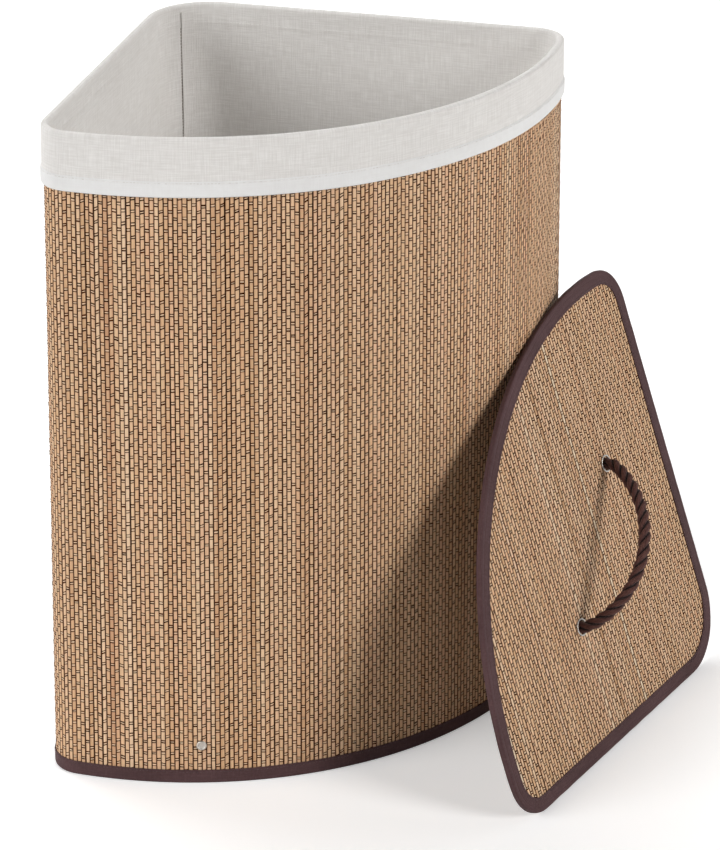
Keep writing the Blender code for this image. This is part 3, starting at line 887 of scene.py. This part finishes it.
# %% Sewing on the bag
hem_sewing = sew("hem_sewing", [(every, LINER_OUT + 0.00115, hem_top - 0.0016, "out")], wrap, "liner",
                 "liner_cotton")
down = np.arange(0.012, HEIGHT - 0.024, SEWN_STEP)
seam_out = LINER_IN - 0.0004 + bag_ripple(np.full(len(down), 0.0016), down, INSIDE_ROW)
corner_sewing = sew("corner_sewing", [(0.0016, seam_out, down, "upright_in")], wrap, "liner",
                    "liner_cotton", 0.0)
band_sewing = sew("band_sewing", [(every, LINER_IN - 0.0003, band + 0.002, "in")], wrap, "liner",
                  "liner_cotton", 0.0)
bpy.data.objects.remove(sewn)
print("sewing on the bag:", len(hem_sewing.data.polygons) // FACES, "stitches round the hem")

# %% [markdown]
# ## Metal pieces
# Rivets, eyelets and washers are turned shapes. Half of each section is drawn as a closed line
# and spun once round its axis, which gives a clean ring of faces with no seam.

# %% Spin a section
def spun(name, section, place, body, *stands_for):
    """Spins a closed section (radius, height) round Z and puts it where place says."""
    section = np.array(section)
    deselect()
    bpy.ops.mesh.primitive_circle_add(vertices=len(section), radius=0.01, fill_type="NOTHING")
    piece = settle(name)
    write_points(piece, np.stack([section[:, 0], 0 * section[:, 0], section[:, 1]], 1))
    hold(piece)
    turn = piece.modifiers.new("turn", "SCREW")
    turn.angle = 2 * pi
    turn.steps = turn.render_steps = 48
    turn.use_merge_vertices = True
    turn.merge_threshold = 1e-6
    bpy.ops.object.modifier_apply(modifier=turn.name)
    edit(piece, vertices=True)
    bpy.ops.mesh.remove_doubles(threshold=1e-6)
    bpy.ops.mesh.dissolve_degenerate(threshold=1e-7)
    bpy.ops.mesh.normals_make_consistent(inside=False)
    leave_edit()
    add_mark(piece, "turned", read_points(piece))
    write_points(piece, read_points(piece) @ place[:3, :3].T + place[:3, 3])
    smooth(piece, 40)
    belongs(piece, body, "steel", *stands_for)
    return piece


def arc_points(x, y, radius, start, stop, steps):
    return [(x + radius * cos(radians(start + (stop - start) * i / steps)),
             y + radius * sin(radians(start + (stop - start) * i / steps))) for i in range(steps + 1)]


metal = []
RIVET_Z = 0.041
rivet_section = ([(0, 0.00135), (0.0026, 0.00135), (0.0030, 0.0015), (0.0033, 0.0018)]
                 + arc_points(0.0041, 0.0010, 0.0009, 120, -60, 6)
                 + [(0.0046, 0.0003), (0.002, 0.0003), (0.002, -0.0052), (0, -0.0052)])
for name, side in (("left", -1), ("right", 1)):
    turn_at = 3 * pi / 2 + side * radians(29)
    grow = 1 + FLARE * (1 - RIVET_Z / HEIGHT)
    out_way = Vector((cos(turn_at), sin(turn_at), 0))
    place = Matrix.Translation((arc_radius * grow * out_way.x,
                                (arc_y + arc_radius * out_way.y) * grow, RIVET_Z))
    place = np.array(place @ out_way.to_track_quat("Z", "Y").to_matrix().to_4x4())
    metal.append(spun(f"rivet_cap_{name}", rivet_section, place, "hamper", f"rivet_{name}"))
print("two rivets stand", RIVET_Z, "m up the wall")

# %% Eyelets and their washers
BORE, FLANGE = 0.0070, 0.0088
face = LID_THICKNESS - 0.0006
eyelet_section = ([(BORE, 0.0003), (BORE + 0.0005, 0.0003), (BORE + 0.0005, face)]
                  + [(FLANGE - 0.0002, face)]
                  + arc_points(FLANGE - 0.00045, face + 0.0004, 0.00045, -40, 100, 5)
                  + arc_points(BORE + 0.0009, face + 0.00005, 0.0009, 80, 180, 6))
washer_section = [(0.0078, 0.00005), (0.0080, -0.0002), (0.0086, -0.0002), (FLANGE, 0.00005),
                  (FLANGE, 0.0006), (0.0078, 0.0006)]
for name, side in (("upper", -1), ("lower", 1)):
    place = stand @ np.array(Matrix.Translation((HANDLE_X + side * HALF_SPAN, HANDLE_Y, 0)))
    metal.append(spun(f"eyelet_ring_{name}", eyelet_section, place, "lid", f"eyelet_{name}"))
    metal.append(spun(f"eyelet_back_{name}", washer_section, place, "lid", f"eyelet_washer_{name}"))
print("eyelets of", BORE * 2000, "mm bore")

# %% [markdown]
# ## Materials
# Each finish is built from nodes. Effects that several finishes share are node groups: a soft
# unevenness of tone, streaky fibres, and a woven cloth. A group gives out only masks and heights,
# and each material decides what they colour and how deep they go.

# %% Helpers for nodes
def wire(tree, kind, values=None, **settings):
    """Adds a node. A value is a number, a colour or the output that feeds the socket."""
    node = tree.nodes.new(kind)
    for name, setting in settings.items():
        setattr(node, name, setting)
    for socket, value in (values or {}).items():
        if isinstance(value, bpy.types.NodeSocket):
            tree.links.new(value, node.inputs[socket])
        else:
            node.inputs[socket].default_value = value
    return node


def calc(tree, operation, *values):
    node = wire(tree, "ShaderNodeMath", dict(enumerate(values)), operation=operation)
    return node.outputs[0]


def between(tree, value, low, high, to_low=0.0, to_high=1.0, smooth=False):
    node = wire(tree, "ShaderNodeMapRange", {"Value": value, "From Min": low, "From Max": high,
                                             "To Min": to_low, "To Max": to_high},
                interpolation_type="SMOOTHSTEP" if smooth else "LINEAR")
    return node.outputs["Result"]


def stretch(tree, vector, scale):
    return wire(tree, "ShaderNodeMapping", {"Vector": vector, "Scale": scale}).outputs[0]


def noise(tree, vector, scale, detail=2.0, rough=0.5):
    return wire(tree, "ShaderNodeTexNoise", {"Vector": vector, "Scale": scale, "Detail": detail,
                                             "Roughness": rough}).outputs[0]


def blend_colours(tree, share, one, two):
    return wire(tree, "ShaderNodeMix", {0: share, 6: one, 7: two}, data_type="RGBA").outputs[2]


def group(name, inputs):
    """A new node group with a vector and numbers in, and values out."""
    tree = bpy.data.node_groups.new(name, "ShaderNodeTree")
    for socket, default in inputs.items():
        kind = "NodeSocketVector" if default is None else "NodeSocketFloat"
        made = tree.interface.new_socket(socket, in_out="INPUT", socket_type=kind)
        if default is not None:
            made.default_value = default
    return tree, tree.nodes.new("NodeGroupInput").outputs


def close_group(tree, outputs):
    for socket in outputs:
        tree.interface.new_socket(socket, in_out="OUTPUT", socket_type="NodeSocketFloat")
    end = tree.nodes.new("NodeGroupOutput")
    for socket, value in outputs.items():
        tree.links.new(value, end.inputs[socket])


def use(tree, name, vector, **values):
    node = tree.nodes.new("ShaderNodeGroup")
    node.node_tree = bpy.data.node_groups[name]
    tree.links.new(vector, node.inputs["Vector"])
    for socket, value in values.items():
        node.inputs[socket].default_value = value
    return node.outputs


print("node helpers ready")

# %% The three shared effects
tree, given = group("uneven tone", {"Vector": None, "Broad": 6.0, "Fine": 60.0})
broad = noise(tree, given["Vector"], given["Broad"], 3.0, 0.6)
fine = noise(tree, given["Vector"], given["Fine"], 2.0, 0.5)
both = calc(tree, "ADD", calc(tree, "MULTIPLY", broad, 0.65), calc(tree, "MULTIPLY", fine, 0.35))
close_group(tree, {"Tone": between(tree, both, 0.32, 0.68), "Spots": between(tree, fine, 0.55, 0.8)})

tree, given = group("streaks", {"Vector": None, "Across": 900.0, "Along": 30.0})
size = wire(tree, "ShaderNodeCombineXYZ", {0: given["Across"], 1: given["Across"], 2: given["Along"]})
laid = wire(tree, "ShaderNodeVectorMath", {0: given["Vector"], 1: size.outputs[0]}, operation="MULTIPLY")
thin = noise(tree, laid.outputs[0], 1.0, 3.0, 0.6)
wide = noise(tree, laid.outputs[0], 0.31, 2.0, 0.5)
close_group(tree, {"Streak": between(tree, thin, 0.3, 0.7), "Band": between(tree, wide, 0.35, 0.65)})

tree, given = group("woven cloth", {"Vector": None, "Thread": 0.0007, "Slub": 0.5})
parts = wire(tree, "ShaderNodeSeparateXYZ", {0: given["Vector"]}).outputs
per = calc(tree, "DIVIDE", pi, given["Thread"])
over = calc(tree, "SINE", calc(tree, "MULTIPLY", parts[0], per))
under = calc(tree, "SINE", calc(tree, "MULTIPLY", parts[1], per))
checks = calc(tree, "MULTIPLY", over, under)
warp = noise(tree, stretch(tree, given["Vector"], (900, 45, 1)), 1.0, 2.0)
weft_noise = noise(tree, stretch(tree, given["Vector"], (45, 900, 1)), 1.0, 2.0)
slubs = calc(tree, "ADD", between(tree, warp, 0.35, 0.75), between(tree, weft_noise, 0.35, 0.75))
slubs = calc(tree, "MULTIPLY", slubs, given["Slub"])
height = calc(tree, "ADD", calc(tree, "MULTIPLY", checks, 0.25), slubs)
checks = calc(tree, "MULTIPLY_ADD", checks, 0.5, 0.5)
close_group(tree, {"Height": height, "Slubs": slubs, "Checks": checks})
print("groups:", [made.name for made in bpy.data.node_groups])


# %% A new material
def finish_named(name, roughness, metallic=0.0, sheen=0.0, specular=0.5):
    material = bpy.data.materials.new(name)
    material.use_nodes = True
    tree = material.node_tree
    shader = tree.nodes["Principled BSDF"]
    shader.inputs["Roughness"].default_value = roughness
    shader.inputs["Metallic"].default_value = metallic
    shader.inputs["Sheen Weight"].default_value = sheen
    shader.inputs["Sheen Roughness"].default_value = 0.5
    shader.inputs["Specular IOR Level"].default_value = specular
    return material, tree, shader


def place_of(tree):
    return wire(tree, "ShaderNodeTexCoord").outputs["Object"]


def mark_of(tree, name, kind="Fac"):
    return wire(tree, "ShaderNodeAttribute", attribute_name=name).outputs[kind]


def map_of(tree, name):
    return wire(tree, "ShaderNodeUVMap", uv_map=name).outputs[0]


def colour(red, green, blue):
    """An 8-bit colour as the linear one that the shader wants."""
    parts = np.array([red, green, blue]) / 255
    return (*np.where(parts > 0.04045, ((parts + 0.055) / 1.055) ** 2.4, parts / 12.92).tolist(), 1.0)


def tones(tree, share, dark, light):
    return blend_colours(tree, share, colour(*dark), colour(*light))


def stain_and_painted_light(tree, share, base, shade):
    """Lays a colour over the base, as strongly as share says: stains, and also painted shade and
    highlights.
    """
    return blend_colours(tree, share, base, colour(*shade))


def coat(tree, shader, base, height, depth, strength=1.0):
    """Gives a finish its colour and its relief, which is depth metres deep."""
    tree.links.new(base, shader.inputs["Base Color"])
    node = wire(tree, "ShaderNodeBump", {"Height": height, "Distance": depth, "Strength": strength})
    tree.links.new(node.outputs[0], shader.inputs["Normal"])


def plain_finish(name, roughness, dark, light, broad, fine, depth, **looks):
    """A finish that only wanders between two tones."""
    material, tree, shader = finish_named(name, roughness, **looks)
    tone = use(tree, "uneven tone", place_of(tree), Broad=broad, Fine=fine)["Tone"]
    coat(tree, shader, tones(tree, tone, dark, light), tone, depth)
    return material


def dress(material, *pieces):
    for piece in pieces:
        piece.data.materials.clear()
        piece.data.materials.append(material)


print("a warm bamboo is", [round(x, 3) for x in colour(205, 170, 130)])

# %% [markdown]
# ### Bamboo
# Each slat has its own tone, from straw to a pinkish brown. Fibres run along it, its edges are
# darkened with painted shade for their rounded sides, painted shade darkens it round the threads,
# and between the two threads of a pair it swells and a painted highlight makes it paler.

# %% Bamboo slats
bamboo, tree, shader = finish_named("bamboo slats", 0.5, specular=0.2)
ramp = wire(tree, "ShaderNodeValToRGB", {"Fac": mark_of(tree, "tone")})
ramp.color_ramp.elements[0].position = 0.0
ramp.color_ramp.elements[0].color = colour(204, 160, 118)
ramp.color_ramp.elements[1].position = 1.0
ramp.color_ramp.elements[1].color = colour(255, 234, 202)
for at, shade in ((0.3, (234, 190, 147)), (0.6, (246, 206, 165)), (0.82, (252, 217, 179))):
    ramp.color_ramp.elements.new(at).color = colour(*shade)
pink = between(tree, mark_of(tree, "hue"), 0.45, 1.0, 0.0, 0.38)
base = stain_and_painted_light(tree, pink, ramp.outputs[0], (240, 186, 154))
fibres = use(tree, "streaks", place_of(tree), Across=1500.0, Along=40.0)
base = stain_and_painted_light(tree, between(tree, fibres["Streak"], 0.0, 1.0, 0.30, 0.0), base, (146, 92, 58))
base = stain_and_painted_light(tree, between(tree, fibres["Band"], 0.4, 1.0, 0.0, 0.22), base, (248, 224, 184))
over_slat, rows_up, _ = wire(tree, "ShaderNodeSeparateXYZ", {0: map_of(tree, "weave")}).outputs
row = calc(tree, "ABSOLUTE", calc(tree, "SUBTRACT", calc(tree, "FRACT", rows_up), 0.5))
bead_swell_and_highlight = between(tree, row, 0.045, 0.075, 1.0, 0.0, smooth=True)
# Painted shade: the slat is darkened round each pair of threads, where they press on it.
painted_thread_shade = between(tree, row, 0.10, 0.16, 1.0, 0.0, smooth=True)
base = stain_and_painted_light(tree, calc(tree, "MULTIPLY", painted_thread_shade, 0.22), base, (140, 82, 52))
# Painted highlight: the slat between the two threads of a pair is made paler; the same mask also swells
# it in the relief.
base = stain_and_painted_light(tree, calc(tree, "MULTIPLY", bead_swell_and_highlight, 0.6), base, (255, 232, 198))
side = calc(tree, "ABSOLUTE", calc(tree, "SUBTRACT", over_slat, 0.5))
# Painted shade on the slat's two long edges, standing in for the shading of their rounded sides.
painted_edge_shade = between(tree, side, 0.32, 0.5, 0.0, 0.85, smooth=True)
base = stain_and_painted_light(tree, painted_edge_shade, base, (92, 44, 18))
worn = use(tree, "uneven tone", place_of(tree), Broad=9.0, Fine=90.0)
base = stain_and_painted_light(tree, between(tree, worn["Tone"], 0.0, 1.0, 0.14, 0.0), base, (160, 112, 72))
tree.links.new(between(tree, fibres["Streak"], 0.0, 1.0, 0.62, 0.42), shader.inputs["Roughness"])
coat(tree, shader, base, calc(tree, "ADD", fibres["Streak"], calc(tree, "MULTIPLY", bead_swell_and_highlight, 0.8)), 0.00018)
dress(bamboo, mat_slats, lid_slats)
print("bamboo on", mat_slats.name, "and", lid_slats.name)

# %% Weft thread, sewing thread
thread, tree, shader = finish_named("weft thread", 0.9, specular=0.03)
base = tones(tree, mark_of(tree, "tone"), (56, 22, 8), (100, 52, 24))
wisps = use(tree, "streaks", place_of(tree), Across=2600.0, Along=2600.0)
base = stain_and_painted_light(tree, between(tree, wisps["Streak"], 0.0, 1.0, 0.35, 0.0), base, (42, 17, 8))
coat(tree, shader, base, wisps["Streak"], 0.0001)
dress(thread, lid_weft, *weft)

for name, dark, light, sewn_pieces in (
        ("brown sewing thread", (56, 34, 36), (92, 64, 66), (lid_sewing, bottom_sewing, seam_sewing)),
        ("white sewing thread", (212, 208, 203), (244, 243, 240), (hem_sewing, band_sewing)),
        ("grey sewing thread", (118, 98, 90), (150, 130, 120), (corner_sewing,))):
    material, tree, shader = finish_named(name, 0.6, sheen=0.2)
    base = tones(tree, mark_of(tree, "tone"), dark, light)
    plied = use(tree, "streaks", place_of(tree), Across=3000.0, Along=3000.0)
    base = stain_and_painted_light(tree, between(tree, plied["Streak"], 0.0, 1.0, 0.25, 0.0), base, dark)
    coat(tree, shader, base, plied["Streak"], 0.00006)
    dress(material, *sewn_pieces)
print("threads done")

# %% [markdown]
# ### Tape, cotton and backing
# The tape is a close twill, dark brown with a purple cast. The cotton of the bag is a plain weave
# of uneven threads, so thicker ones, called slubs, show as short lines both ways.

# %% Brown tape
tape, tree, shader = finish_named("brown cotton tape", 0.8, sheen=0.08, specular=0.2)
twill = use(tree, "woven cloth", map_of(tree, "cloth"), Thread=0.00045, Slub=0.35)
tone = use(tree, "uneven tone", place_of(tree), Broad=14.0, Fine=420.0)
base = tones(tree, tone["Tone"], (78, 54, 55), (98, 71, 73))
base = stain_and_painted_light(tree, between(tree, twill["Height"], -0.1, 0.6, 0.35, 0.0), base, (52, 34, 34))
base = stain_and_painted_light(tree, between(tree, tone["Spots"], 0.3, 1.0, 0.0, 0.12), base, (140, 116, 114))
tree.links.new(between(tree, twill["Height"], -0.1, 0.6, 0.85, 0.68), shader.inputs["Roughness"])
coat(tree, shader, base, twill["Height"], 0.00022)
dress(tape, bottom_tape, lid_tape, seam_tape)

hidden_tape = plain_finish("brown tape under the cuff", 0.8, (66, 44, 44), (98, 71, 73),
                           broad=14.0, fine=900.0, depth=0.0002, sheen=0.2)
dress(hidden_tape, *(nodes[name] for name in ("top_binding", "base_tab_left", "base_tab_right")))
print("tape on", len(bpy.data.materials["brown cotton tape"].node_tree.nodes), "nodes")

# %% Bag cotton
cotton, tree, shader = finish_named("slub cotton", 0.9, sheen=0.12, specular=0.2)
weave = use(tree, "woven cloth", map_of(tree, "cloth"), Thread=0.00065, Slub=0.5)
tone = use(tree, "uneven tone", place_of(tree), Broad=7.0, Fine=160.0)
base = tones(tree, tone["Tone"], (236, 233, 230), (243, 241, 238))
base = stain_and_painted_light(tree, between(tree, weave["Slubs"], 0.15, 0.75, 0.30, 0.0), base, (186, 180, 173))
base = stain_and_painted_light(tree, between(tree, weave["Checks"], 0.0, 0.5, 0.12, 0.0), base, (200, 195, 190))
coat(tree, shader, base, weave["Height"], 0.00028, 0.8)

smooth_cotton, tree, shader = finish_named("hem cotton", 0.9, sheen=0.12, specular=0.2)
weave = use(tree, "woven cloth", map_of(tree, "cloth"), Thread=0.00055, Slub=0.3)
tone = use(tree, "uneven tone", place_of(tree), Broad=7.0, Fine=160.0)
base = tones(tree, tone["Tone"], (233, 232, 231), (240, 240, 239))
base = stain_and_painted_light(tree, between(tree, weave["Slubs"], 0.1, 0.5, 0.10, 0.0), base, (205, 200, 195))
coat(tree, shader, base, weave["Height"], 0.0002, 0.6)
dress(cotton, bag, bag_floor, corner_seam)
dress(smooth_cotton, hem)
print("cotton on the bag, its floor, seam and hem")

# %% Backing cloth and board
backing = plain_finish("backing cloth", 0.9, (42, 18, 9), (62, 30, 16), broad=20.0, fine=700.0,
                       depth=0.0003, specular=0.03)
dress(backing, nodes["wall_backing"])
lining = plain_finish("lining cloth", 0.9, (134, 120, 108), (152, 138, 124), broad=12.0, fine=900.0,
                      depth=0.0003, sheen=0.1, specular=0.15)
dress(lining, nodes["lid_lining"], nodes["base_cloth"])

board, tree, shader = finish_named("fibreboard", 0.8, specular=0.25)
chips = use(tree, "uneven tone", place_of(tree), Broad=30.0, Fine=500.0)
base = tones(tree, chips["Tone"], (120, 88, 58), (164, 128, 90))
base = stain_and_painted_light(tree, chips["Spots"], base, (92, 64, 40))
coat(tree, shader, base, chips["Tone"], 0.0002)
dress(board, nodes["lid_board"], nodes["base_board"])
print("backing, lining and board done")

# %% [markdown]
# ### Rope and metal
# The fibres of each strand follow it, so the rope's pattern reads where each point was before the
# strand was bent. The metal is nickel plate, a little scratched.

# %% Rope
rope, tree, shader = finish_named("brown rope", 0.7, sheen=0.1, specular=0.3)
straight = mark_of(tree, "straight", "Vector")
strands = use(tree, "streaks", straight, Across=2200.0, Along=260.0)
base = tones(tree, strands["Streak"], (72, 38, 33), (100, 62, 54))
base = stain_and_painted_light(tree, between(tree, strands["Band"], 0.5, 1.0, 0.0, 0.25), base, (122, 84, 74))
# Painted shade: the grooves between the strands, near the rope's middle, are darkened nearly to black.
deep = between(tree, mark_of(tree, "out"), 0.66, 0.93, 0.85, 0.0, smooth=True)
base = stain_and_painted_light(tree, deep, base, (24, 10, 9))
coat(tree, shader, base, strands["Streak"], 0.0004)
dress(rope, handle, *knots)

nickel, tree, shader = finish_named("nickel plate", 0.3, metallic=1.0)
rub = use(tree, "streaks", mark_of(tree, "turned", "Vector"), Across=2500.0, Along=2500.0)
tone = use(tree, "uneven tone", place_of(tree), Broad=90.0, Fine=900.0)
base = tones(tree, tone["Tone"], (196, 190, 184), (232, 228, 222))
tree.links.new(between(tree, rub["Streak"], 0.0, 1.0, 0.24, 0.42), shader.inputs["Roughness"])
coat(tree, shader, base, rub["Streak"], 0.00005)
dress(nickel, *metal)

plain_steel, tree, shader = finish_named("plain steel", 0.4, metallic=1.0)
tone = use(tree, "uneven tone", place_of(tree), Broad=60.0, Fine=900.0)
base = tones(tree, tone["Tone"], (150, 148, 146), (190, 188, 186))
tree.links.new(between(tree, tone["Tone"], 0.0, 1.0, 0.5, 0.32), shader.inputs["Roughness"])
coat(tree, shader, base, tone["Tone"], 0.0001)
dress(plain_steel, *(nodes[name] for name in ("top_rim_wire", "bottom_rim_wire", "rivet_washer_left",
                                              "rivet_washer_right")))
print("rope and metal done")

# %% [markdown]
# ## Floor and light
# The hamper stands in a white studio. A wide light from the front right faces the lid, a wider
# one from the left lights the curved wall, a weak one from the right lifts the shadows, and one
# from behind keeps the floor white. The room looks white but gives almost no light of its own, so
# the side that faces none of the lights stays deep brown. The floor also glows a little where it
# is looked at, as a lit white sweep does, which keeps its shadows pale.

# %% Floor
FLOOR_Z = cad_low.z - 0.0003
FLOOR_GLOW = 0.33
deselect()
bpy.ops.mesh.primitive_plane_add(size=16, location=(0, 0, FLOOR_Z))
floor = settle("floor")
studio, tree, shader = finish_named("studio floor", 0.9, specular=0.1)
smudge = use(tree, "uneven tone", place_of(tree), Broad=0.5, Fine=3.0)
base = tones(tree, smudge["Tone"], (250, 250, 250), (252, 252, 252))
tree.links.new(base, shader.inputs["Base Color"])
seen = wire(tree, "ShaderNodeLightPath").outputs["Is Camera Ray"]
tree.links.new(calc(tree, "MULTIPLY", seen, FLOOR_GLOW), shader.inputs["Emission Color"])
shader.inputs["Emission Strength"].default_value = 1.0
dress(studio, floor)
print("floor at", round(FLOOR_Z, 5))


# %% Lights
def soft_sun(name, heading, height, spread, power, tint=(1, 1, 1)):
    """A far, wide light. Heading is degrees to the right of straight ahead."""
    light = bpy.data.lights.new(name, "SUN")
    light.angle = radians(spread)
    light.energy = power
    light.color = tint
    way = Vector((sin(radians(heading)) * cos(radians(height)),
                  -cos(radians(heading)) * cos(radians(height)), sin(radians(height))))
    lamp = bpy.data.objects.new(name, light)
    bpy.context.scene.collection.objects.link(lamp)
    turn = way.to_track_quat("Z", "Y").to_matrix().to_4x4()
    lamp.matrix_world = Matrix.Translation(Vector((0.08, -0.08, 0.32)) + 3 * way) @ turn


soft_sun("key", 33, 26, 22, 1.66, (1.0, 0.99, 0.98))
soft_sun("left fill", -90, 25, 40, 1.92)
soft_sun("right fill", 85, 30, 40, 0.40)
soft_sun("back", 180, 45, 50, 1.75)
ROOM_LIGHT = 0.02
world = bpy.data.worlds.new("studio")
bpy.context.scene.world = world
world.use_nodes = True
tree = world.node_tree
tree.nodes["Background"].inputs["Color"].default_value = (1, 1, 1, 1)
seen = wire(tree, "ShaderNodeLightPath").outputs["Is Camera Ray"]
brightness = between(tree, seen, 0.0, 1.0, ROOM_LIGHT, 1.0)
tree.links.new(brightness, tree.nodes["Background"].inputs["Strength"])
bpy.context.scene.view_settings.view_transform = "Standard"
print("four soft lights")
